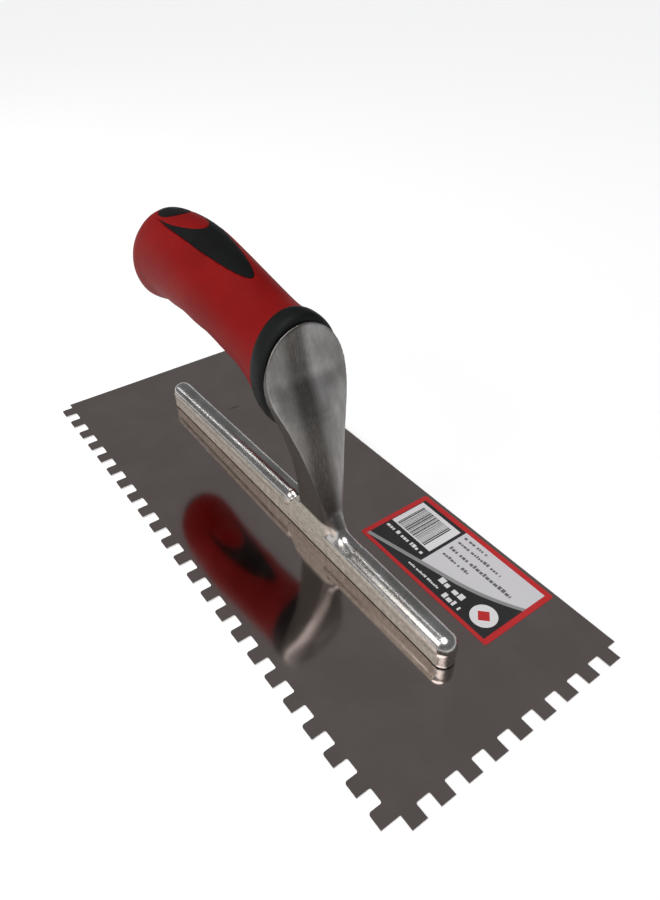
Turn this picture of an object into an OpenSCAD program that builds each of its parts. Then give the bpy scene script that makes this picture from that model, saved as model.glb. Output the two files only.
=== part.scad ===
// Square-notch trowel: stainless blade, cast aluminium mounting, two-material soft-grip handle.
// Origin at the centre of the blade's underside, +X towards the free nose of the mounting,
// +Y towards the plain long edge of the blade, +Z up. Millimetres.

/* [Blade] */
// Length of the blade
blade_l = 279.4; // [279:0.1:282]
// Width of the blade
blade_w = 114.3; // [114:0.1:118]
// Thickness of the blade
blade_t = 0.8; // [0.6:0.1:1.2]
// Distance from one tooth to the next
notch_pitch = 12; // [11.9:0.05:12]
// Width of one tooth
tooth_w = 6.3; // [5.5:0.1:6.8]
// Depth of the notches
notch_d = 5.6; // [4.5:0.1:6.5]
// Teeth along the long edge
long_teeth = 23; // [10:1:23]
// Teeth along the short edge
end_teeth = 9; // [4:1:9]
// Offset of the first short-edge tooth from the corner
end_offset = 7.7; // [6.5:0.1:8]
// Radius at the root of a notch
root_r = 0.7; // [0.3:0.1:1.5]
// Radius on the rounded corner of a tooth
tip_r = 1.2; // [0.5:0.1:2]

/* [Mounting bar] */
// Rear end of the bar
bar_rear_x = -107.5; // [-115:0.5:-100]
// Front end of the bar
bar_front_x = 105.5; // [90:0.5:115]
// Width of the bar's flat web
web_w = 9.2; // [8:0.1:12]
// Radius of the rolled top bead
bead_r = 5.3; // [4.7:0.1:6]
// Height of the bead's top at the two ends of the bar
bead_end_z = 14; // [12:0.5:16]
// Height of the bead's top beside the shank
bead_mid_z = 16.5; // [14:0.5:19]
// Front end of the rear bead
rear_bead_stop_x = 10; // [4:0.5:12]
// Rear end of the front bead
front_bead_start_x = 29; // [27:0.5:33]

/* [Shank] */
// Rear face of the shank at the bar
shank_rear_x = 15; // [12:0.5:17]
// Front face of the shank at the bar
shank_front_x = 37; // [36:0.5:38]
// Height of the handle flange's centre
flange_z = 80; // [74:0.5:84]
// Half width of the handle flange
flange_b = 17.8; // [16:0.1:18]
// Half height of the handle flange
flange_h = 21; // [20:0.1:22]
// Rear face of the flange
flange_x = 13.4; // [13:0.1:13.8]

/* [Handle] */
// Rear end of the handle
butt_x = -109.6; // [-112:0.1:-109.4]
// Upward tilt of the handle's bore towards the butt, in degrees
handle_tilt = 5.2; // [3:0.1:7]
// Radius of the handle core
core_r = 10.5; // [9:0.1:11]
// Radius of the tang
tang_r = 5.5; // [4:0.1:7]
// Length of the tang
tang_l = 92; // [70:1:94]
// Radius of the retaining screw's thread
screw_r = 2.5; // [2:0.1:3]
// Depth of the finger grooves
groove_d = 2; // [0:0.1:2.4]
// Distance from one finger groove to the next
groove_pitch = 22.5; // [20:0.5:24]
// Thickness of the soft inlays
inlay_t = 1.6; // [1:0.1:2]

/* [Rivets and label] */
// Radius of a rivet's stem
rivet_r = 2; // [1.5:0.1:2.5]
// Length of a rivet's stem above the blade
rivet_l = 7; // [5:0.5:8]
// Length of the label
label_l = 75; // [60:1:76]
// Width of the label
label_w = 39; // [30:1:40]
// Thickness of the label
label_t = 0.15; // [0.1:0.05:0.3]

/* [Hidden] */
$fn = 48;
e = 0.01;
half_l = blade_l / 2;
half_w = blade_w / 2;
notch_w = notch_pitch - tooth_w;
// First long-edge tooth, so that the last one ends where the short-edge notches start
long_offset = blade_l - notch_d - tooth_w - (long_teeth - 1) * notch_pitch;
web_half = web_w / 2;
web_setback = 1.6;
shank_foot_z = 17.5;
// Thickness of the flange at its top edge, and how much thicker it is at mid height
flange_edge_t = 1.2;
flange_crown = 4.6;
rivet_head_r = 3.4;
rivet_neck_r = 2.6;
rivet_x = [-95, -72, -49, -26, -3, 43, 68, 93];
label_x = 31.5;
label_y = 16.5;
label_corner_r = 1.2;

cap_x = -101.5;
collar_front_x = flange_x - 0.1;
collar_rear_x = 5;
ring_points = 36;

// Stations along the handle: [x, centre height, half width, half height]
collar_stations = [
    [collar_front_x, 79.4, 17.2, 23.4],
    [collar_front_x - 1, 79.4, 18, 24.4],
    [collar_front_x - 3, 79.5, 18.4, 24.8],
    [collar_rear_x + 2, 79.8, 18.2, 24.6],
    [collar_rear_x, 80.2, 17.7, 23.6]
];
grip_stations = [
    [collar_rear_x, 80.2, 17.4, 23.2],
    [-6, 84.5, 16.5, 18.8],
    [-24, 88.6, 16.4, 18.8],
    [-43, 91.7, 16.8, 20.2],
    [-59, 93.5, 17.2, 21.5],
    [-75, 93.5, 17.3, 21.6],
    [-90, 91, 17.2, 22],
    [-98, 88, 16.4, 20.6],
    [-103.5, 86, 13.8, 17.4],
    [-107, 84.8, 10.2, 13],
    [-109, 84.2, 6, 8],
    [butt_x, 84, 2.5, 3.2]
];

// Bore line of the handle, measured from the flange's rear face towards the butt
core_l = 108;
core_web = 8;
head_bore_r = 6.2;
washer_r = 5.6;
washer_t = 1.2;
head_r = 4.4;
head_l = 3.6;
screw_bite = 16;
socket_r = 1.5;
palm_x = -57;
palm_half_l = 38;
palm_half_w = 8.8;
palm_skew = 0.25;
crescent_x = -77;
crescent_half_l = 22;
crescent_half_w = 8.2;
rear_oval_x = -82;
rear_oval_half_l = 8.8;
rear_oval_half_w = 6.4;
// Height of the blocks that cut the handle, larger than any part of it
cut_h = 150;
groove_x = -80.5;
grooves = 4;

// ---- shared shapes -----------------------------------------------------------------------

// A point on the smooth curve through a list of stations, t from 0 to the last index
function along(s, t) =
    let (
        n = len(s) - 1,
        i = min(floor(t), n - 1),
        u = t - i,
        p0 = s[max(i - 1, 0)], p1 = s[i], p2 = s[i + 1], p3 = s[min(i + 2, n)]
    )
    p1 + u * (p2 - p0 + u * (2 * p0 - 5 * p1 + 4 * p2 - p3 + u * (3 * p1 - p0 - 3 * p2 + p3))) / 2;

// A closed body through rings of equal length
module loft(rings) {
    n = len(rings[0]);
    m = len(rings);
    sides = [
        for (i = [0 : m - 2], k = [0 : n - 1])
            let (a = i * n + k, b = i * n + (k + 1) % n)
            each [[a, b + n, b], [a, a + n, b + n]]
    ];
    caps = [[for (k = [0 : n - 1]) k], [for (k = [n - 1 : -1 : 0]) (m - 1) * n + k]];
    polyhedron([for (r = rings) each r], concat(sides, caps), convexity = 4);
}

// ---- blade -------------------------------------------------------------------------------

// A notch that opens towards -Y, its root at y = 0 and its left side at x = 0
module notch_2d() {
    translate([0, -notch_d - 1]) square([notch_w, notch_d + 1 - root_r]);
    translate([root_r, -notch_d - 1]) square([notch_w - 2 * root_r, notch_d + 1]);
    for (x = [root_r, notch_w - root_r])
        translate([x, -root_r]) circle(r = root_r, $fn = 24);
}

// What is cut away to round a tooth's corner that points to -X and -Y
module tip_cut_2d() {
    difference() {
        translate([-1, -1]) square([1 + tip_r, 1 + tip_r]);
        translate([tip_r, tip_r]) circle(r = tip_r, $fn = 24);
    }
}

module blade_2d() {
    difference() {
        translate([-half_l, -half_w]) square([blade_l, blade_w]);
        // part notch before the first long-edge tooth
        translate([-half_l - 1, -half_w - 1]) square([long_offset + 1, notch_d + 1]);
        for (i = [0 : long_teeth - 2])
            translate([-half_l + long_offset + i * notch_pitch + tooth_w, -half_w + notch_d])
                notch_2d();
        for (i = [0 : long_teeth - 1])
            translate([-half_l + long_offset + i * notch_pitch, -half_w])
                tip_cut_2d();
        // corner between the two notched edges
        translate([half_l - notch_d, -half_w - 1]) square([notch_d + 1, end_offset + 1]);
        for (j = [0 : end_teeth - 2])
            translate([half_l - notch_d, -half_w + end_offset + j * notch_pitch + tooth_w])
                rotate([0, 0, 90]) notch_2d();
        // part notch after the last short-edge tooth
        translate([half_l - notch_d, -half_w + end_offset + (end_teeth - 1) * notch_pitch + tooth_w])
            square([notch_d + 1, notch_pitch + 1]);
    }
}

module rivet_solid() {
    cylinder(r1 = rivet_head_r, r2 = rivet_neck_r, h = blade_t);
    translate([0, 0, blade_t - e]) cylinder(r = rivet_r, h = rivet_l + e);
}

module blade() {
    color([0.36, 0.34, 0.33])
        difference() {
            linear_extrude(blade_t) blade_2d();
            for (x = rivet_x) translate([x, 0, 0]) rivet_solid();
        }
}

module blade_rivet(i) {
    color([0.6, 0.6, 0.6]) translate([rivet_x[i], 0, 0]) rivet_solid();
}

// ---- mounting: bar, shank, flange and tang in one casting ---------------------------------

// Top of the bead at a given x: highest beside the shank, lower towards both ends
function bead_top(x) =
    let (run = x < 0 ? bar_rear_x : bar_front_x)
    bead_mid_z - (bead_mid_z - bead_end_z) * min(1, x / run);

// Half outline of a round-ended rod that stands on the origin
module capsule_2d(run, r) {
    intersection() {
        union() {
            translate([-r, 0]) square([2 * r, run]);
            circle(r = r);
            translate([0, run]) circle(r = r);
        }
        translate([0, -r - 1]) square([r + 1, run + 2 * r + 2]);
    }
}

// A round-ended rod whose top follows bead_top() from x1 to x2
module bead(x1, x2) {
    a = x1 + bead_r;
    b = x2 - bead_r;
    rise = bead_top(b) - bead_top(a);
    translate([a, 0, bead_top(a) - bead_r])
        rotate([0, 90 - atan2(rise, b - a), 0])
            rotate_extrude() capsule_2d(norm([b - a, rise]), bead_r);
}

// The web's plan: straight sides and round ends, set back under the ends of the bead
module web_plan_2d() {
    rear = bar_rear_x + web_setback + web_half;
    front = bar_front_x - web_setback - web_half;
    translate([rear, -web_half]) square([front - rear, web_w]);
    for (x = [rear, front]) translate([x, 0]) circle(r = web_half);
}

// The web's side view: its top edge runs along the middle of the bead
module web_side_2d() {
    polygon([
        [bar_rear_x - 1, blade_t],
        [bar_front_x + 1, blade_t],
        [bar_front_x + 1, bead_top(bar_front_x) - bead_r],
        [shank_front_x - 3, bead_top(shank_front_x) - bead_r],
        [shank_front_x - 3, shank_foot_z],
        [shank_rear_x - 4, shank_foot_z],
        [rear_bead_stop_x - 3, bead_top(0) - bead_r],
        [0, bead_top(0) - bead_r],
        [bar_rear_x - 1, bead_top(bar_rear_x) - bead_r]
    ]);
}

module web() {
    intersection() {
        linear_extrude(shank_foot_z + 1) web_plan_2d();
        translate([0, web_half, 0]) rotate([90, 0, 0]) linear_extrude(web_w) web_side_2d();
    }
}

// Outline of the shank at one height: flat towards the handle, crowned towards the nose
function shank_ring(st) =
    let (
        z = st[0], x1 = st[1], x2 = st[2], b = st[3], n = 16,
        crown = min(3, (x2 - x1) / 3),
        edge = min(0.8, (x2 - x1) / 4)
    )
    concat(
        [for (i = [0 : n]) let (t = -1 + 2 * i / n) [x2 - crown * pow(abs(t), 2.4), b * t, z]],
        [[x1 + edge, b, z], [x1, b * 0.85, z], [x1, -b * 0.85, z], [x1 + edge, -b, z]]
    );

// Stations up the shank, then round the top of the oval flange: [z, rear x, front x, half width]
shank_stations = [
    [shank_foot_z - 4, shank_rear_x, shank_front_x, web_half - 0.6],
    [shank_foot_z + 4.5, shank_rear_x, shank_front_x - 0.5, web_half + 0.4],
    [flange_z - 46, shank_rear_x + 0.8, shank_front_x - 2.4, web_half + 2],
    [flange_z - 30, flange_x + 2.4, shank_front_x - 6.4, 9.8],
    [flange_z - 16, flange_x + 0.6, shank_front_x - 10.6, 13.8],
    [flange_z - 7, flange_x, shank_front_x - 14.4, flange_b - 0.9],
    for (a = [0 : 12 : 84])
        [flange_z + flange_h * sin(a), flange_x,
            flange_x + flange_edge_t + flange_crown * pow(1 - sin(a), 1.5), flange_b * cos(a)]
];

module shank() {
    per_span = 3;
    n = (len(shank_stations) - 1) * per_span;
    loft([for (i = [0 : n]) shank_ring(along(shank_stations, i / per_span))]);
}

// Places children on the handle's bore line: local +Z runs from the flange to the butt
module on_bore_line() {
    translate([flange_x, 0, flange_z]) rotate([0, handle_tilt - 90, 0]) children();
}

module tang() {
    on_bore_line() translate([0, 0, -2]) cylinder(r = tang_r, h = tang_l + 2);
}

module mounting() {
    color([0.72, 0.72, 0.72])
        difference() {
            union() {
                bead(bar_rear_x, rear_bead_stop_x);
                bead(front_bead_start_x, bar_front_x);
                web();
                shank();
                tang();
            }
            for (x = rivet_x)
                translate([x, 0, blade_t - 1]) cylinder(r = rivet_r, h = rivet_l + 1);
            on_bore_line()
                translate([0, 0, tang_l - screw_bite]) cylinder(r = screw_r, h = screw_bite + 1);
        }
}

// ---- handle --------------------------------------------------------------------------------

// How far the belly is pressed in by the finger grooves at x
function groove_at(x) =
    let (u = (x - groove_x) / groove_pitch)
    u < -0.5 || u > grooves - 0.5 ? 0 : groove_d * (1 + cos(360 * u)) / 2;

// One ring of a handle part; the belly carries the finger grooves
function ring(st, grow, grooved) = [
    for (k = [0 : ring_points - 1])
        let (
            a = 360 * k / ring_points,
            belly = grooved && cos(a) < 0 ? groove_at(st[0]) * pow(-cos(a), 1.5) : 0
        )
        [st[0], (st[2] + grow) * sin(a), st[1] + (st[3] + grow - belly) * cos(a)]
];

module oval_body(stations, per_span, grow = 0, grooved = false) {
    n = (len(stations) - 1) * per_span;
    loft([for (i = [0 : n]) ring(along(stations, i / per_span), grow, grooved)]);
}

module core_rod() {
    on_bore_line() cylinder(r = core_r, h = core_l);
}

module handle_core() {
    color([0.08, 0.08, 0.08])
        difference() {
            intersection() {
                on_bore_line() translate([0, 0, -2]) cylinder(r = core_r, h = core_l + 2);
                translate([flange_x - cut_h, -cut_h / 2, 0]) cube(cut_h);
            }
            on_bore_line() translate([0, 0, -5]) cylinder(r = tang_r, h = tang_l + 5);
            on_bore_line() cylinder(r = screw_r, h = core_l);
            on_bore_line()
                translate([0, 0, tang_l + core_web]) cylinder(r = head_bore_r, h = core_l);
        }
}

module front_collar() {
    color([0.06, 0.06, 0.06])
        difference() {
            oval_body(collar_stations, 3);
            on_bore_line() translate([0, 0, -4]) cylinder(r = core_r, h = 30);
        }
}

module oval_2d(half_l, half_w) {
    scale([half_l / half_w, 1]) circle(r = half_w);
}

// Plan of the palm inlay: an egg, wider to the rear, with a crescent cut into its rear end
module palm_2d() {
    difference() {
        polygon([
            for (t = [0 : 6 : 354])
                [palm_x + palm_half_l * cos(t), palm_half_w * sin(t) * (1 - palm_skew * cos(t))]
        ]);
        translate([crescent_x, 0]) oval_2d(crescent_half_l, crescent_half_w);
    }
}

module rear_inlay_2d() {
    translate([rear_oval_x, 0]) oval_2d(rear_oval_half_l, rear_oval_half_w);
}

module grip_body(grow = 0) {
    oval_body(grip_stations, 3, grow, true);
}

// Everything above a plan that lies outside the grip's body less the inlay thickness
module inlay_space() {
    difference() {
        translate([0, 0, grip_stations[0][1]]) linear_extrude(60) children();
        grip_body(-inlay_t);
    }
}

module inlay() {
    color([0.06, 0.06, 0.06])
        intersection() {
            grip_body();
            inlay_space() children();
        }
}

module grip_sleeve() {
    color([0.6, 0.08, 0.07])
        difference() {
            grip_body();
            core_rod();
            translate([cap_x - cut_h, -cut_h / 2, 0]) cube(cut_h);
            inlay_space() palm_2d();
            inlay_space() rear_inlay_2d();
        }
}

module palm_inlay() {
    inlay() palm_2d();
}

module rear_inlay() {
    inlay() rear_inlay_2d();
}

module butt_cap() {
    color([0.06, 0.06, 0.06])
        intersection() {
            grip_body();
            translate([cap_x - cut_h, -cut_h / 2, 0]) cube(cut_h);
        }
}

module retaining_screw() {
    color([0.65, 0.65, 0.65])
        on_bore_line()
            difference() {
                union() {
                    translate([0, 0, tang_l - screw_bite])
                        cylinder(r = screw_r, h = screw_bite + core_web + washer_t + e);
                    translate([0, 0, tang_l + core_web + washer_t]) cylinder(r = head_r, h = head_l);
                }
                translate([0, 0, tang_l + core_web + washer_t + head_l - 2])
                    cylinder(r = socket_r, h = 3, $fn = 6);
            }
}

module screw_washer() {
    color([0.7, 0.7, 0.7])
        on_bore_line()
            translate([0, 0, tang_l + core_web])
                difference() {
                    cylinder(r = washer_r, h = washer_t);
                    translate([0, 0, -1]) cylinder(r = screw_r, h = washer_t + 2);
                }
}

// ---- label ---------------------------------------------------------------------------------

module label() {
    color([0.85, 0.85, 0.86])
        translate([label_x, label_y, blade_t])
            linear_extrude(label_t) {
                translate([label_corner_r, 0]) square([label_l - 2 * label_corner_r, label_w]);
                translate([0, label_corner_r]) square([label_l, label_w - 2 * label_corner_r]);
                for (x = [label_corner_r, label_l - label_corner_r])
                    for (y = [label_corner_r, label_w - label_corner_r])
                        translate([x, y]) circle(r = label_corner_r);
            }
}

blade();
mounting();
for (i = [0 : len(rivet_x) - 1])
    blade_rivet(i);
handle_core();
front_collar();
grip_sleeve();
palm_inlay();
rear_inlay();
butt_cap();
retaining_screw();
screw_washer();
label();
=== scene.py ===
"""Notched trowel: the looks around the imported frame. Metres, +Z up, blade flat on the floor."""

import math
import random

import bmesh
import bpy
from mathutils import Matrix, Vector
from mathutils.bvhtree import BVHTree


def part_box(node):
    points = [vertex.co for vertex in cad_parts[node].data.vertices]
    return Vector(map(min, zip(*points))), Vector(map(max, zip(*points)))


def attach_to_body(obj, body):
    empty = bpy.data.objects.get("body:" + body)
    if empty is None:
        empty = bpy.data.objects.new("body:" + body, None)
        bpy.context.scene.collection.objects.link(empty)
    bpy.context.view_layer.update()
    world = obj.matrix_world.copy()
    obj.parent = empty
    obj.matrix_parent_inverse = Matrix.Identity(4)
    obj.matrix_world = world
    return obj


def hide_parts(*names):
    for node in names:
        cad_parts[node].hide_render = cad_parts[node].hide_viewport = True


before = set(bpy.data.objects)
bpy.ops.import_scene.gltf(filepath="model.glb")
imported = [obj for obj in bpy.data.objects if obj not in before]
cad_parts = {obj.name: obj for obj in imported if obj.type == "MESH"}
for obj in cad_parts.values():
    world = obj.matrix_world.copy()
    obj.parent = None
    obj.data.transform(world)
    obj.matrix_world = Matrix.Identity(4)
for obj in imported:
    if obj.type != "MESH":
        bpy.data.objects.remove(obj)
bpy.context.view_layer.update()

MM = 0.001
BODY = "root"
BLADE_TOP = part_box("blade")[1].z

# ---- camera and framing --------------------------------------------------------------------

# Sensor in mm, lens ratio as focal length over picture width, angles in degrees
SENSOR = 36.0
LENS_RATIO = 700 / 660
CAMERA_AZ = 53.5
CAMERA_EL = 38.6
CAMERA_DIST = 0.3246
CAMERA_AIM = Vector((-0.0042, 0.0261, 0.0191))


def direction(azimuth, elevation):
    """Unit vector from the object towards azimuth and elevation, 0 azimuth looking along +Y."""
    a, e = math.radians(azimuth), math.radians(elevation)
    return Vector((math.sin(a) * math.cos(e), -math.cos(a) * math.cos(e), math.sin(e)))


def aim(obj, target):
    obj.rotation_euler = (target - obj.location).to_track_quat("-Z", "Y").to_euler()


def make_camera():
    data = bpy.data.cameras.new("camera")
    data.sensor_fit = "HORIZONTAL"
    data.sensor_width = SENSOR
    data.lens = LENS_RATIO * SENSOR
    data.clip_start = 0.01
    obj = bpy.data.objects.new("camera", data)
    bpy.context.collection.objects.link(obj)
    obj.location = CAMERA_AIM + direction(CAMERA_AZ, CAMERA_EL) * CAMERA_DIST
    aim(obj, CAMERA_AIM)
    bpy.context.scene.camera = obj


# ---- light and backdrop --------------------------------------------------------------------

LIGHT_AIM = Vector((0, 0, 40 * MM))
BACKDROP_COLOUR = (0.96, 0.97, 1.0)
# The backdrop shows pale past the floor's edge, but lights and reflects at its own lower strength
BACKDROP_SEEN = 0.95
BACKDROP_LIGHT = 0.22


def softbox(name, azimuth, elevation, distance, size, power, colour=(1, 1, 1)):
    data = bpy.data.lights.new(name, "AREA")
    data.shape = "RECTANGLE"
    data.size, data.size_y = size
    data.energy = power
    data.color = colour
    obj = bpy.data.objects.new(name, data)
    bpy.context.collection.objects.link(obj)
    obj.location = LIGHT_AIM + direction(azimuth, elevation) * distance
    aim(obj, LIGHT_AIM)


def daylight(azimuth, elevation, spread, strength):
    """An even overhead light, as from a large diffuser."""
    data = bpy.data.lights.new("diffuser", "SUN")
    data.energy = strength
    data.angle = math.radians(spread)
    obj = bpy.data.objects.new("diffuser", data)
    bpy.context.collection.objects.link(obj)
    obj.location = direction(azimuth, elevation)
    aim(obj, Vector((0, 0, 0)))


def make_lights():
    daylight(azimuth=40, elevation=74, spread=40, strength=2.5)
    # the narrow strip draws the highlight along the beads, clear of what the blade mirrors to
    # the camera
    softbox("strip", azimuth=-66, elevation=46, distance=0.8, size=(0.035, 0.9), power=0.55)
    softbox("side", azimuth=-8, elevation=30, distance=0.9, size=(0.5, 0.5), power=2.4,
            colour=(1.0, 0.97, 0.93))


def make_world():
    world = bpy.data.worlds.new("studio")
    bpy.context.scene.world = world
    world.use_nodes = True
    back = world.node_tree.nodes["Background"]
    back.inputs["Color"].default_value = (*BACKDROP_COLOUR, 1)
    seen = world.node_tree.nodes.new("ShaderNodeLightPath").outputs["Is Camera Ray"]
    level = world.node_tree.nodes.new("ShaderNodeMapRange")
    level.inputs["To Min"].default_value = BACKDROP_LIGHT
    level.inputs["To Max"].default_value = BACKDROP_SEEN
    world.node_tree.links.new(seen, level.inputs["Value"])
    world.node_tree.links.new(level.outputs["Result"], back.inputs["Strength"])


# ---- node materials ------------------------------------------------------------------------

class Shader:
    """A small builder for one Principled material in object coordinates."""

    def __init__(self, name, **constants):
        self.mat = bpy.data.materials.new(name)
        self.mat.use_nodes = True
        self.tree = self.mat.node_tree
        self.bsdf = self.tree.nodes["Principled BSDF"]
        for key, value in constants.items():
            self.bsdf.inputs[key.replace("_", " ")].default_value = value
        self.coords = self.tree.nodes.new("ShaderNodeTexCoord").outputs["Object"]

    def plug(self, value, socket):
        if isinstance(value, bpy.types.NodeSocket):
            self.tree.links.new(value, socket)
        else:
            socket.default_value = value

    def scaled(self, scale, turn=(0, 0, 0)):
        node = self.tree.nodes.new("ShaderNodeMapping")
        self.plug(self.coords, node.inputs["Vector"])
        node.inputs["Scale"].default_value = scale
        node.inputs["Rotation"].default_value = [math.radians(t) for t in turn]
        return node.outputs["Vector"]

    def noise(self, scale, detail=3.0, vector=None, rough=0.55):
        node = self.tree.nodes.new("ShaderNodeTexNoise")
        self.plug(vector or self.coords, node.inputs["Vector"])
        node.inputs["Scale"].default_value = scale
        node.inputs["Detail"].default_value = detail
        node.inputs["Roughness"].default_value = rough
        return node.outputs["Fac"]

    def cells(self, scale):
        node = self.tree.nodes.new("ShaderNodeTexVoronoi")
        self.plug(self.coords, node.inputs["Vector"])
        node.inputs["Scale"].default_value = scale
        return node.outputs["Distance"]

    def math(self, kind, a, b=0.0):
        node = self.tree.nodes.new("ShaderNodeMath")
        node.operation = kind
        self.plug(a, node.inputs[0])
        self.plug(b, node.inputs[1])
        return node.outputs[0]

    def ramp(self, value, lo, hi, out_lo=0.0, out_hi=1.0):
        node = self.tree.nodes.new("ShaderNodeMapRange")
        node.interpolation_type = "SMOOTHSTEP"
        self.plug(value, node.inputs["Value"])
        ends = (("From Min", lo), ("From Max", hi), ("To Min", out_lo), ("To Max", out_hi))
        for name, end in ends:
            node.inputs[name].default_value = end
        return node.outputs["Result"]

    def mix(self, fac, a, b):
        node = self.tree.nodes.new("ShaderNodeMix")
        node.data_type = "RGBA"
        self.plug(fac, node.inputs[0])
        for value, socket in ((a, node.inputs[6]), (b, node.inputs[7])):
            self.plug((*value, 1) if isinstance(value, tuple) else value, socket)
        return node.outputs[2]

    def axis(self, source, letter):
        node = self.tree.nodes.new("ShaderNodeSeparateXYZ")
        self.plug(source, node.inputs[0])
        return node.outputs[letter]

    def normal(self, letter):
        return self.axis(self.tree.nodes.new("ShaderNodeNewGeometry").outputs["Normal"], letter)

    def place(self, letter):
        return self.axis(self.coords, letter)

    def band(self, value, lo, hi, soft):
        """1 where value lies between lo and hi, with soft edges."""
        return self.math("MULTIPLY", self.ramp(value, lo - soft, lo + soft),
                         self.ramp(value, hi - soft, hi + soft, 1.0, 0.0))

    def bump(self, height, strength, distance, below=None):
        node = self.tree.nodes.new("ShaderNodeBump")
        node.inputs["Strength"].default_value = strength
        node.inputs["Distance"].default_value = distance
        self.plug(height, node.inputs["Height"])
        if below:
            self.plug(below, node.inputs["Normal"])
        return node.outputs["Normal"]

    def set(self, **values):
        for key, value in values.items():
            self.plug(value, self.bsdf.inputs[key.replace("_", " ")])
        return self.mat


# A small rub mark on the blade, beside the rear of the handle on its +Y side
RUB_X = (-84.6 * MM, -83.2 * MM)
RUB_Y = (16.5 * MM, 22.5 * MM)


def blade_steel():
    s = Shader("blade_steel", Metallic=1.0, Specular_IOR_Level=0.5)
    grain = s.noise(1.0, 4.0, s.scaled((60, 5200, 900)))
    cloud = s.noise(38.0, 4.0)
    face = s.mix(s.ramp(cloud, 0.35, 0.7), (0.40, 0.335, 0.312), (0.44, 0.372, 0.348))
    face = s.mix(s.ramp(grain, 0.55, 0.8, 0.0, 0.25), face, (0.43, 0.385, 0.37))
    rub = s.band(s.place("X"), *RUB_X, 0.7 * MM)
    rub = s.math("MULTIPLY", rub, s.band(s.place("Y"), *RUB_Y, 1.8 * MM))
    rub = s.math("MULTIPLY", rub, s.ramp(s.noise(900.0), 0.4, 0.62))
    face = s.mix(s.math("MULTIPLY", rub, 0.75), face, (0.07, 0.06, 0.06))
    edge = s.ramp(s.math("ABSOLUTE", s.normal("Z")), 0.35, 0.6, 1.0, 0.0)
    colour = s.mix(edge, face, (0.62, 0.61, 0.6))
    rough = s.math("ADD", s.ramp(grain, 0.3, 0.75, 0.0, 0.03),
                   s.ramp(cloud, 0.3, 0.75, 0.07, 0.095))
    rough = s.math("ADD", rough, s.math("MULTIPLY", edge, 0.25))
    return s.set(Base_Color=colour, Roughness=rough, Normal=s.bump(grain, 0.05, 0.00002))


# Heights where the beads' finish ends and where the ground faces end
BEADS_Z = 16.5 * MM
FOOT_Z = 17.5 * MM
# The ground top of the block between the beads, and the band up the shank where a dark reflection is
# painted
BLOCK_X = (10 * MM, 34 * MM)
PAINTED_REFLECTION_Y = (-8.5 * MM, 0.5 * MM)


def cast_aluminium():
    s = Shader("cast_aluminium", Specular_IOR_Level=0.5)
    z = s.place("Z")
    flat_side = s.ramp(s.math("ABSOLUTE", s.normal("Y")), 0.93, 0.985)
    flat_side = s.math("MULTIPLY", flat_side, s.ramp(z, FOOT_Z, FOOT_Z + 1.0 * MM, 1.0, 0.0))
    flat_top = s.math("MULTIPLY", s.ramp(s.normal("Z"), 0.93, 0.985),
                      s.band(z, FOOT_Z - 0.9 * MM, FOOT_Z + 0.6 * MM, 0.3 * MM))
    flat_top = s.math("MULTIPLY", flat_top, s.band(s.place("X"), *BLOCK_X, 1.0 * MM))
    flat = s.math("MAXIMUM", flat_side, flat_top)
    # pits and grey specks of the ground faces
    specks = s.math("MULTIPLY", s.ramp(s.noise(1250.0, 2.0), 0.58, 0.66),
                    s.ramp(s.noise(260.0), 0.42, 0.62))
    mottle = s.noise(420.0, 5.0)
    ground = s.mix(s.ramp(mottle, 0.35, 0.68), (0.5, 0.47, 0.41), (0.68, 0.65, 0.58))
    ground = s.mix(specks, ground, (0.16, 0.145, 0.125))
    # brushing on the shank, running down and across
    brush = s.noise(1.0, 5.0, s.scaled((700, 4200, 260), (38, 0, 0)), 0.65)
    smear = s.noise(90.0, 4.0, s.scaled((1, 1, 0.35)))
    polish = s.mix(s.ramp(smear, 0.3, 0.72), (0.21, 0.2, 0.19), (0.42, 0.41, 0.405))
    polish = s.mix(s.ramp(brush, 0.52, 0.75, 0.0, 0.5), polish, (0.12, 0.11, 0.10))
    shank = s.ramp(z, BEADS_Z, FOOT_Z + 2.0 * MM)
    bead = s.mix(s.ramp(smear, 0.3, 0.72), (0.4, 0.385, 0.37), (0.55, 0.54, 0.53))
    # painted reflection: a dark band up the shank's front face, streaked with the brushing
    painted_reflection = s.math("MULTIPLY", s.band(s.place("Y"), *PAINTED_REFLECTION_Y, 2.8 * MM),
                   s.ramp(brush, 0.2, 0.6, 0.6, 1.0))
    polish = s.mix(painted_reflection, polish, (0.085, 0.078, 0.072))
    # painted shade: the shank's faces turned towards -Y are darkened
    polish = s.mix(s.ramp(s.normal("Y"), -0.75, -0.9), polish, (0.10, 0.096, 0.09))
    polish = s.mix(shank, bead, polish)
    colour = s.mix(flat, polish, ground)
    # painted shadow: a thin dark line along the casting's foot, just above the blade, where the gap
    # between them lies in shade
    gap_shadow = s.ramp(z, BLADE_TOP + 0.3 * MM, BLADE_TOP + 0.7 * MM, 1.0, 0.0)
    colour = s.mix(gap_shadow, colour, (0.02, 0.018, 0.016))
    fine = s.ramp(brush, 0.3, 0.75, 0.0, 0.12)
    rough = s.math("ADD", s.ramp(shank, 0.0, 1.0, 0.17, 0.36), fine)
    rough = s.math("ADD", rough, s.math("MULTIPLY", flat, 0.22))
    pits = s.bump(s.math("SUBTRACT", mottle, s.math("MULTIPLY", specks, 0.6)), 0.28, 0.00012)
    scratch = s.bump(brush, 0.08, 0.00006, pits)
    return s.set(Base_Color=colour, Roughness=rough, Normal=scratch,
                 Metallic=s.ramp(flat, 0.0, 1.0, 1.0, 0.45))


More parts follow.
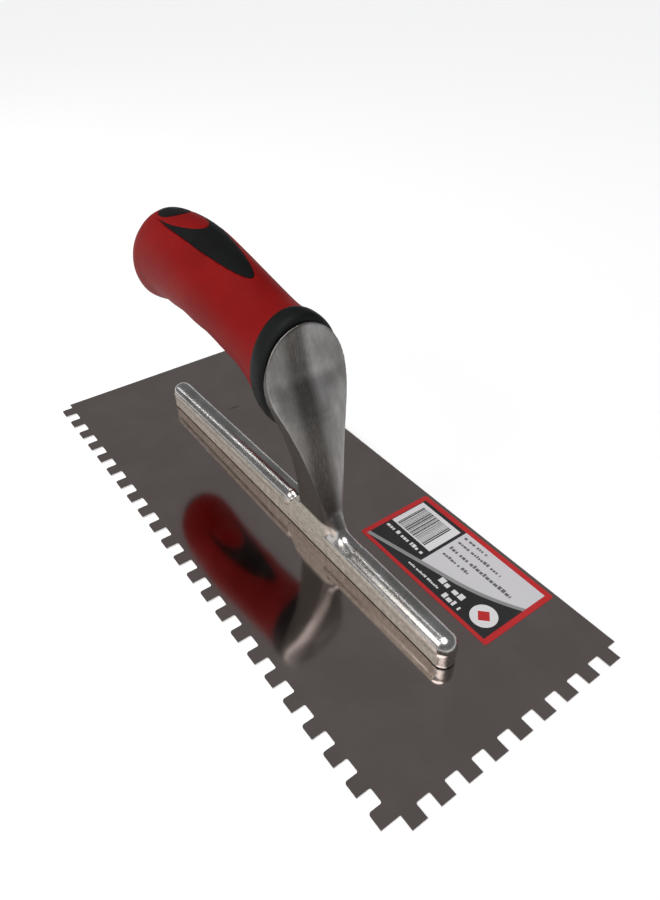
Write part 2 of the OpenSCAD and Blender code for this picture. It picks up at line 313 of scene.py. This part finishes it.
def plain_steel(name, colour):
    s = Shader(name, Metallic=1.0, Specular_IOR_Level=0.5)
    turned = s.noise(900.0, 4.0, s.scaled((1, 1, 0.2)))
    tone = s.mix(s.ramp(turned, 0.35, 0.7), colour, tuple(c * 0.8 for c in colour))
    return s.set(Base_Color=tone, Roughness=s.ramp(turned, 0.3, 0.75, 0.26, 0.42),
                 Normal=s.bump(turned, 0.15, 0.00005))


def soft_rubber(name, colour, dark, pebble):
    """Soft grip: fine matt grain, or pebbles where pebble is their count per metre."""
    s = Shader(name, Specular_IOR_Level=0.09)
    cloud = s.noise(45.0, 4.0)
    grain = s.noise(2600.0, 3.0)
    tone = s.mix(s.ramp(cloud, 0.3, 0.72), colour, dark)
    tone = s.mix(s.ramp(grain, 0.6, 0.85, 0.0, 0.3), tone, tuple(c * 1.35 for c in colour))
    rough = s.math("ADD", s.ramp(grain, 0.3, 0.7, 0.5, 0.6), s.ramp(cloud, 0.3, 0.7, 0.0, 0.05))
    normal = s.bump(grain, 0.2, 0.00006)
    if pebble:
        normal = s.bump(s.ramp(s.cells(pebble), 0.1, 0.75, 1.0, 0.0), 0.55, 0.00022, normal)
    return s.set(Base_Color=tone, Roughness=rough, Normal=normal)


def moulded_plastic(name, colour):
    s = Shader(name, Specular_IOR_Level=0.1)
    grain = s.noise(1700.0, 3.0)
    cloud = s.noise(60.0, 3.0)
    tone = s.mix(s.ramp(cloud, 0.3, 0.7), colour, tuple(c * 1.5 for c in colour))
    return s.set(Base_Color=tone, Roughness=s.ramp(grain, 0.3, 0.7, 0.46, 0.58),
                 Normal=s.bump(grain, 0.22, 0.00008))


def printed_film(name, colour, metallic=0.0, base_rough=0.3):
    """Ink on glossy film: a faint print grain, and soft waves in the film."""
    s = Shader(name, Metallic=metallic, Coat_Weight=0.35, Coat_Roughness=0.2)
    grain = s.noise(3200.0, 2.0)
    wave = s.noise(55.0, 2.0)
    tone = s.mix(s.ramp(grain, 0.35, 0.75, 0.0, 0.3), colour, tuple(c * 0.82 + 0.012 for c in colour))
    rough = s.ramp(wave, 0.3, 0.7, base_rough, base_rough + 0.12)
    return s.set(Base_Color=tone, Roughness=rough, Normal=s.bump(wave, 0.1, 0.0002))


def floor_paper():
    s = Shader("floor_paper", Specular_IOR_Level=0.2)
    fibre = s.noise(900.0, 4.0)
    tone = s.mix(s.ramp(fibre, 0.3, 0.75, 0.0, 1.0), (0.93, 0.93, 0.93), (0.96, 0.96, 0.96))
    return s.set(Base_Color=tone, Roughness=s.ramp(fibre, 0.3, 0.7, 0.8, 0.9))


# ---- mesh helpers --------------------------------------------------------------------------

def add_mesh(name, mesh, material=None, crease=None):
    obj = bpy.data.objects.new(name, mesh)
    bpy.context.collection.objects.link(obj)
    if material:
        mesh.materials.clear()
        mesh.materials.append(material)
    if crease is not None:
        mesh.polygons.foreach_set("use_smooth", [True] * len(mesh.polygons))
        mesh.set_sharp_from_angle(angle=math.radians(crease))
    return obj


def from_bmesh(name, bm):
    bmesh.ops.recalc_face_normals(bm, faces=bm.faces)
    mesh = bpy.data.meshes.new(name)
    bm.to_mesh(mesh)
    bm.free()
    return mesh


def evaluated(obj):
    """The object's mesh after its modifiers, with the object taken away."""
    graph = bpy.context.evaluated_depsgraph_get()
    mesh = bpy.data.meshes.new_from_object(obj.evaluated_get(graph))
    bpy.data.objects.remove(obj)
    return mesh


def boolean(mesh, cutter_mesh, operation):
    body = add_mesh("tmp_body", mesh.copy())
    cutter = add_mesh("tmp_cutter", cutter_mesh)
    mod = body.modifiers.new("cut", "BOOLEAN")
    mod.operation = operation
    mod.solver = "EXACT"
    mod.object = cutter
    result = evaluated(body)
    bpy.data.objects.remove(cutter)
    return result


def split_at(mesh, x, keep_front):
    """The part of a closed mesh in front of or behind the plane at x, closed again."""
    bm = bmesh.new()
    bm.from_mesh(mesh)
    cut = bmesh.ops.bisect_plane(
        bm, geom=bm.verts[:] + bm.edges[:] + bm.faces[:], plane_co=(x, 0, 0), plane_no=(1, 0, 0),
        clear_outer=not keep_front, clear_inner=keep_front)
    edges = [g for g in cut["geom_cut"] if isinstance(g, bmesh.types.BMEdge)]
    bmesh.ops.contextual_create(bm, geom=edges)
    return from_bmesh("half", bm)


def cad_surface(names):
    """One search tree over the triangles of several CAD nodes."""
    points, faces = [], []
    for name in names:
        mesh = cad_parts[name].data
        start = len(points)
        points += [v.co.copy() for v in mesh.vertices]
        faces += [[start + i for i in p.vertices] for p in mesh.polygons]
    return BVHTree.FromPolygons(points, faces)


# Rays start FAR out. A skin's middle line is searched for from SPINE_Z and then averaged
FAR = 0.2
SPINE_Z = 82 * MM
SPINE_PASSES = 12


def reach(tree, origin, way):
    """Distance from origin to the outermost surface along a direction."""
    hit = tree.ray_cast(origin + way * FAR, -way)
    return FAR - hit[3] if hit[0] else 0.0


def smoothed(grid, passes, around):
    """[1 2 1] averaging of a grid of reaches, along its rows, and around each row if asked."""
    for _ in range(passes):
        rows = [grid[0]]
        for a, b, c in zip(grid, grid[1:], grid[2:]):
            rows.append([(p + 2 * q + r) / 4 for p, q, r in zip(a, b, c)])
        grid = rows + [grid[-1]]
        if around:
            grid = [[(r[i - 1] + 2 * r[i] + r[(i + 1) % len(r)]) / 4 for i in range(len(r))]
                    for r in grid]
    return grid


def skin(names, x_front, x_rear, step, passes, dome=0, sides=96):
    """A smooth closed body over CAD nodes that lie along X. With dome it closes in a round end."""
    tree = cad_surface(names)
    count = max(2, round((x_front - x_rear) / step))
    spine = []
    for i in range(count + 1):
        x = x_front + (x_rear - x_front) * i / count
        guess = Vector((x, 0, SPINE_Z))
        top = guess.z + reach(tree, guess, Vector((0, 0, 1)))
        low = guess.z - reach(tree, guess, Vector((0, 0, -1)))
        spine.append((Vector((x, 0, (top + low) / 2)), 0.0))
    for i in range(1, dome):
        spine.append((spine[count][0], math.radians(90) * i / dome))
    centres = [[p.z] for p, _ in spine[:count + 1]]
    centres = [row[0] for row in smoothed(centres, SPINE_PASSES, False)]
    for i in range(count + 1):
        spine[i][0].z = centres[i]
    turns = [2 * math.pi * k / sides for k in range(sides)]
    ways = [[Vector((-math.sin(tip), math.sin(t) * math.cos(tip), math.cos(t) * math.cos(tip)))
             for t in turns] for _, tip in spine]
    grid = [[reach(tree, p, w) for w in row] for (p, _), row in zip(spine, ways)]
    grid = smoothed(grid, passes, True)
    tip_reach = reach(tree, spine[-1][0], Vector((-1, 0, 0))) if dome else 0.0

    def build(grow=0.0):
        bm = bmesh.new()
        rings = [[bm.verts.new(p + w * (g + grow)) for w, g in zip(way, row)]
                 for (p, _), way, row in zip(spine, ways, grid)]
        for a, b in zip(rings, rings[1:]):
            for k in range(sides):
                j = (k + 1) % sides
                bm.faces.new((a[k], a[j], b[j], b[k]))
        bm.faces.new(rings[0])
        if dome:
            pole = bm.verts.new(spine[-1][0] + Vector((-tip_reach - grow, 0, 0)))
            for k in range(sides):
                bm.faces.new((rings[-1][k], rings[-1][(k + 1) % sides], pole))
        else:
            bm.faces.new(rings[-1])
        return from_bmesh("skin", bm)

    return build


def prism(outline, z0, z1):
    bm = bmesh.new()
    low = [bm.verts.new((x, y, z0)) for x, y in outline]
    high = [bm.verts.new((x, y, z1)) for x, y in outline]
    n = len(outline)
    for i in range(n):
        j = (i + 1) % n
        bm.faces.new((low[i], low[j], high[j], high[i]))
    bm.faces.new(low)
    bm.faces.new(high)
    return from_bmesh("prism", bm)


def ellipse(x, half_l, half_w, count=120):
    turns = [2 * math.pi * i / count for i in range(count)]
    return [(x + half_l * math.cos(t), half_w * math.sin(t)) for t in turns]


def hull_of(name):
    """The convex hull of a CAD node, such as the whole rod of a bored core."""
    bm = bmesh.new()
    bm.from_mesh(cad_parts[name].data)
    hull = bmesh.ops.convex_hull(bm, input=bm.verts)
    inside = hull["geom_interior"] + hull["geom_unused"]
    spare = [g for g in inside if isinstance(g, bmesh.types.BMVert)]
    bmesh.ops.delete(bm, geom=spare, context="VERTS")
    return from_bmesh("hull", bm)


def attach(obj, node):
    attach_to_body(obj, BODY)
    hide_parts(node)


def piece(name, mesh, material, node, crease=32):
    attach(add_mesh(name, mesh, material, crease), node)


# ---- handle --------------------------------------------------------------------------------

INLAY_T = 1.6 * MM
GAP = 0.18 * MM
PROUD = 0.12 * MM
# Ovals seen from above: x of the centre, half length, half width
PALM_EGG = (-57 * MM, 38 * MM, 8.8 * MM)
PALM_SKEW = 0.25
CRESCENT = (-77 * MM, 22 * MM, 8.2 * MM)
REAR_OVAL = (-82 * MM, 8.8 * MM, 6.4 * MM)
# Heights between which each plan is cut. Known fault: the egg's start below the grip's belly, so
# the palm pad and its pocket have a second, unwanted body there.
EGG_Z = (60 * MM, 140 * MM)
CRESCENT_Z = (50 * MM, 150 * MM)
REAR_OVAL_Z = (90 * MM, 140 * MM)
# Where the round rear end starts, in front of its last point
BUTT_ROUND = 12 * MM


def grown(oval, by):
    return oval[0], oval[1] + by, oval[2] + by


def leaf_prism(by):
    """The palm pad's plan: an egg, wider to the rear, less the crescent at its rear end."""
    x, half_l, half_w = grown(PALM_EGG, by)
    turns = [math.radians(3 * i) for i in range(120)]
    egg = [(x + half_l * math.cos(t), half_w * math.sin(t) * (1 - PALM_SKEW * math.cos(t)))
           for t in turns]
    crescent = prism(ellipse(*grown(CRESCENT, -by)), *CRESCENT_Z)
    return boolean(prism(egg, *EGG_Z), crescent, "DIFFERENCE")


def oval_prism(by):
    return prism(ellipse(*grown(REAR_OVAL, by)), *REAR_OVAL_Z)


def make_handle(red, black, plastic):
    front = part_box("grip_sleeve")[1].x
    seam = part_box("butt_cap")[1].x
    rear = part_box("butt_cap")[0].x
    body = skin(["grip_sleeve", "palm_inlay", "rear_inlay", "butt_cap"],
                x_front=front - 0.1 * MM, x_rear=rear + BUTT_ROUND, step=1.0 * MM, passes=3, dome=16)
    core = hull_of("handle_core")
    outer, inner = body(), body(-INLAY_T)
    sleeve = split_at(outer, seam + GAP / 2, True)
    for cut in (leaf_prism(GAP), oval_prism(GAP)):
        pocket = boolean(cut, inner.copy(), "DIFFERENCE")
        sleeve = boolean(sleeve, pocket, "DIFFERENCE")
    sleeve = boolean(sleeve, core, "DIFFERENCE")
    piece("red_sleeve", sleeve, red, "grip_sleeve")
    raised = body(PROUD)
    for name, plan, node in (("palm_pad", leaf_prism(0.0), "palm_inlay"),
                             ("rear_pad", oval_prism(0.0), "rear_inlay")):
        pad = boolean(plan, inner.copy(), "DIFFERENCE")
        pad = boolean(pad, raised.copy(), "INTERSECT")
        piece(name, pad, black, node)
    cap = split_at(outer, seam - GAP / 2, False)
    piece("rear_cap", cap, plastic, "butt_cap")
    low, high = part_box("front_collar")
    collar = skin(["front_collar"],
                  x_front=high.x - 0.02 * MM, x_rear=low.x + 0.02 * MM, step=0.35 * MM, passes=2)()
    collar = boolean(collar, core, "DIFFERENCE")
    piece("hilt_collar", collar, plastic, "front_collar")


# ---- mounting ------------------------------------------------------------------------------

NOSE_R = 4.9 * MM
NOSE_H = 8.0 * MM
# Fillet from the foot of the shank down into the front bead: its two ends and radii
FILLET_TOP = Vector((32.5 * MM, 0, 23 * MM))
FILLET_TOE = Vector((41 * MM, 0, 12.6 * MM))
FILLET_R = (3.9 * MM, 3.3 * MM)
# Where and how often the fillet is relaxed: x from and to, lowest z, and the falling upper limit
RELAX_BOX = (24 * MM, 50 * MM, 12.2 * MM)
RELAX_TOP = (44 * MM, 17 * MM)
RELAX_PASSES = 90
# Below 1 the upper limit falls fast at first and then slowly
RELAX_FADE = 0.35
VOXEL = 0.45 * MM
SMOOTH_PASSES = 6


def rod(start, end, r_start, r_end, sides=48):
    """A closed tapered rod between two points."""
    bm = bmesh.new()
    run = end - start
    bmesh.ops.create_cone(bm, cap_ends=True, segments=sides, radius1=r_start, radius2=r_end,
                          depth=run.length)
    turn = run.to_track_quat("Z", "Y").to_matrix().to_4x4()
    bmesh.ops.transform(bm, matrix=Matrix.Translation((start + end) / 2) @ turn, verts=bm.verts)
    return from_bmesh("rod", bm)


def make_mounting(metal):
    """The casting with softened inner corners: the CAD body remeshed finely and relaxed."""
    low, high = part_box("mounting")
    bm = bmesh.new()
    bm.from_mesh(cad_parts["mounting"].data)
    # upright noses that close the web's ends under the bead
    for x in (low.x + NOSE_R, high.x - NOSE_R):
        foot = Vector((x, 0, low.z))
        bm.from_mesh(rod(foot, foot + Vector((0, 0, NOSE_H)), NOSE_R, NOSE_R))
    bm.from_mesh(rod(FILLET_TOP, FILLET_TOE, *FILLET_R))
    mesh = bpy.data.meshes.new("casting")
    bm.to_mesh(mesh)
    bm.free()
    body = add_mesh("tmp_casting", mesh)
    mod = body.modifiers.new("fine", "REMESH")
    mod.mode = "VOXEL"
    mod.voxel_size = VOXEL
    mod = body.modifiers.new("relax", "SMOOTH")
    mod.factor = 0.5
    mod.iterations = SMOOTH_PASSES
    mesh = evaluated(body)
    x0, x1, z0 = RELAX_BOX
    bm = bmesh.new()
    bm.from_mesh(mesh)
    near = [v for v in bm.verts if x0 < v.co.x < x1 and v.co.z > z0]
    for i in range(RELAX_PASSES):
        top = RELAX_TOP[0] + (RELAX_TOP[1] - RELAX_TOP[0]) * (i / RELAX_PASSES) ** RELAX_FADE
        near = [v for v in near if v.co.z < top]
        bmesh.ops.smooth_vert(bm, verts=near, factor=0.5,
                              use_axis_x=True, use_axis_y=True, use_axis_z=True)
    bm.to_mesh(mesh)
    bm.free()
    piece("casting", mesh, metal, "mounting", crease=60)


# ---- label ---------------------------------------------------------------------------------

INK_T = 0.02 * MM
LABEL_SEED = 7
# The rest of the label is in mm from its corner: margin, bar code's ends, round patch with diamond
MARGIN = 2.5
BARS_U = (5.6, 23.0)
PATCH = (65, 9.6)
PATCH_R = 5.6
DIAMOND_R = 3.2


class Print:
    """Inks laid on the label as thin closed plates; places in mm from the label's corner."""

    def __init__(self, corner, top, inks):
        self.corner, self.top, self.inks = corner, top, list(inks)
        self.bm = bmesh.new()

    def plate(self, outline, ink, layer):
        z0 = self.top + (layer - 1) * INK_T
        points = [(self.corner.x + u * MM, self.corner.y + v * MM) for u, v in outline]
        low = [self.bm.verts.new((x, y, z0)) for x, y in points]
        high = [self.bm.verts.new((x, y, z0 + INK_T)) for x, y in points]
        n = len(points)
        sides = [(low[i], low[(i + 1) % n], high[(i + 1) % n], high[i]) for i in range(n)]
        for verts in sides + [list(reversed(low)), high]:
            self.bm.faces.new(verts).material_index = self.inks.index(ink)

    def bar(self, u0, v0, u1, v1, ink, layer):
        self.plate([(u0, v0), (u1, v0), (u1, v1), (u0, v1)], ink, layer)

    def words(self, u0, u1, v, height, ink, layer, rng):
        """A line of greeked text: short blocks of uneven length."""
        u = u0
        while u < u1:
            run = min(rng.uniform(0.45, 1.0) * height, u1 - u)
            rise = rng.choice((0.72, 0.72, 1.0)) * height
            self.bar(u, v - height / 2, u + run, v - height / 2 + rise, ink, layer)
            u += run + height * rng.choice((0.22, 0.22, 0.22, 0.75))

    def band(self, lower, upper, u0, u1, ink, layer, steps=24):
        us = [u0 + (u1 - u0) * i / steps for i in range(steps + 1)]
        for a, b in zip(us, us[1:]):
            self.plate([(a, lower(a)), (b, lower(b)), (b, upper(b)), (a, upper(a))], ink, layer)


def swoosh(u):
    """Upper edge of the silver sweep across the label."""
    return 2.8 + 0.24 * u + 5.4 * (max(0.0, u - 45) / 28) ** 2


def make_label():
    low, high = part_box("label")
    length, width = (high.x - low.x) / MM, (high.y - low.y) / MM
    inks = {
        "red_ink": printed_film("label_red", (0.42, 0.012, 0.014)),
        "black_ink": printed_film("label_black", (0.012, 0.011, 0.012)),
        "white_ink": printed_film("label_white", (0.62, 0.61, 0.62)),
        "panel_ink": printed_film("label_panel", (0.52, 0.51, 0.53)),
        "silver_ink": printed_film("label_silver", (0.42, 0.41, 0.41), 0.6, 0.24),
        "grey_ink": printed_film("label_grey", (0.11, 0.105, 0.11)),
    }
    film = add_mesh("label_film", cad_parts["label"].data.copy(), inks["red_ink"])
    attach(film, "label")
    rng = random.Random(LABEL_SEED)
    art = Print(low, high.z, inks)
    art.bar(MARGIN, MARGIN * 0.7, length - MARGIN, width - MARGIN, "black_ink", 1)
    # bar code box with its bars
    art.bar(2.9, 15.9, 27.2, 34.6, "white_ink", 2)
    u = BARS_U[0]
    while u < BARS_U[1]:
        run = rng.choice((0.22, 0.22, 0.42, 0.62))
        art.bar(u, 16.6, u + run, 32.6, "black_ink", 3)
        u += run + rng.choice((0.24, 0.36, 0.5))
    art.words(3.6, 26.6, 12.8, 1.9, "white_ink", 2, rng)
    # light panel above the sweep, with four lines of text
    art.band(swoosh, lambda u: width - MARGIN, 28.8, length - MARGIN, "panel_ink", 2)
    art.words(30.6, 44, 34.0, 1.7, "grey_ink", 3, rng)
    art.words(30.8, 55, 30.0, 1.6, "grey_ink", 3, rng)
    art.words(30.8, 65, 25.0, 2.0, "grey_ink", 3, rng)
    art.words(31.4, 46, 20.2, 1.6, "grey_ink", 3, rng)
    art.band(lambda u: swoosh(u) - 1.9, swoosh, MARGIN, length - MARGIN, "silver_ink", 3)
    # large words and a plain round patch in the dark corner
    art.words(41.0, 56.5, 9.2, 2.9, "white_ink", 2, rng)
    art.words(47.5, 57.0, 4.6, 2.7, "white_ink", 2, rng)
    art.words(26.5, 45.0, 5.0, 1.1, "white_ink", 2, rng)
    u, v = PATCH
    turns = [math.pi * i / 24 for i in range(48)]
    disc = [(u + PATCH_R * math.cos(t), v + PATCH_R * math.sin(t)) for t in turns]
    art.plate(disc, "white_ink", 2)
    diamond = [(u - DIAMOND_R, v), (u, v - DIAMOND_R), (u + DIAMOND_R, v), (u, v + DIAMOND_R)]
    art.plate(diamond, "red_ink", 3)
    mesh = from_bmesh("label_print", art.bm)
    for mat in inks.values():
        mesh.materials.append(mat)
    ink = add_mesh("label_print", mesh)
    attach(ink, "label")


# ---- everything together -------------------------------------------------------------------

FLOOR_SIZE = 8.0


def make_floor():
    bm = bmesh.new()
    bmesh.ops.create_grid(bm, x_segments=4, y_segments=4, size=FLOOR_SIZE)
    floor = add_mesh("floor", from_bmesh("floor", bm), floor_paper())


def paint(name, material):
    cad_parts[name].data.materials.clear()
    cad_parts[name].data.materials.append(material)


def main():
    make_camera()
    make_world()
    make_lights()
    bpy.context.scene.view_settings.view_transform = "Standard"
    make_floor()

    rivets = plain_steel("rivet_steel", (0.58, 0.57, 0.56))
    screw = plain_steel("screw_steel", (0.62, 0.62, 0.6))
    plastic = moulded_plastic("collar_plastic", (0.0045, 0.005, 0.005))
    paint("blade", blade_steel())
    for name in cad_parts:
        if name.startswith("blade_rivet"):
            paint(name, rivets)
    paint("handle_core", moulded_plastic("core_plastic", (0.02, 0.02, 0.02)))
    paint("retaining_screw", screw)
    paint("screw_washer", screw)

    red = soft_rubber("red_grip", (0.2, 0.003, 0.003), (0.165, 0.0024, 0.0024), 0)
    black = soft_rubber("black_grip", (0.0045, 0.005, 0.005), (0.003, 0.0032, 0.0033), 1300)
    make_handle(red, black, plastic)
    make_mounting(cast_aluminium())
    make_label()


main()
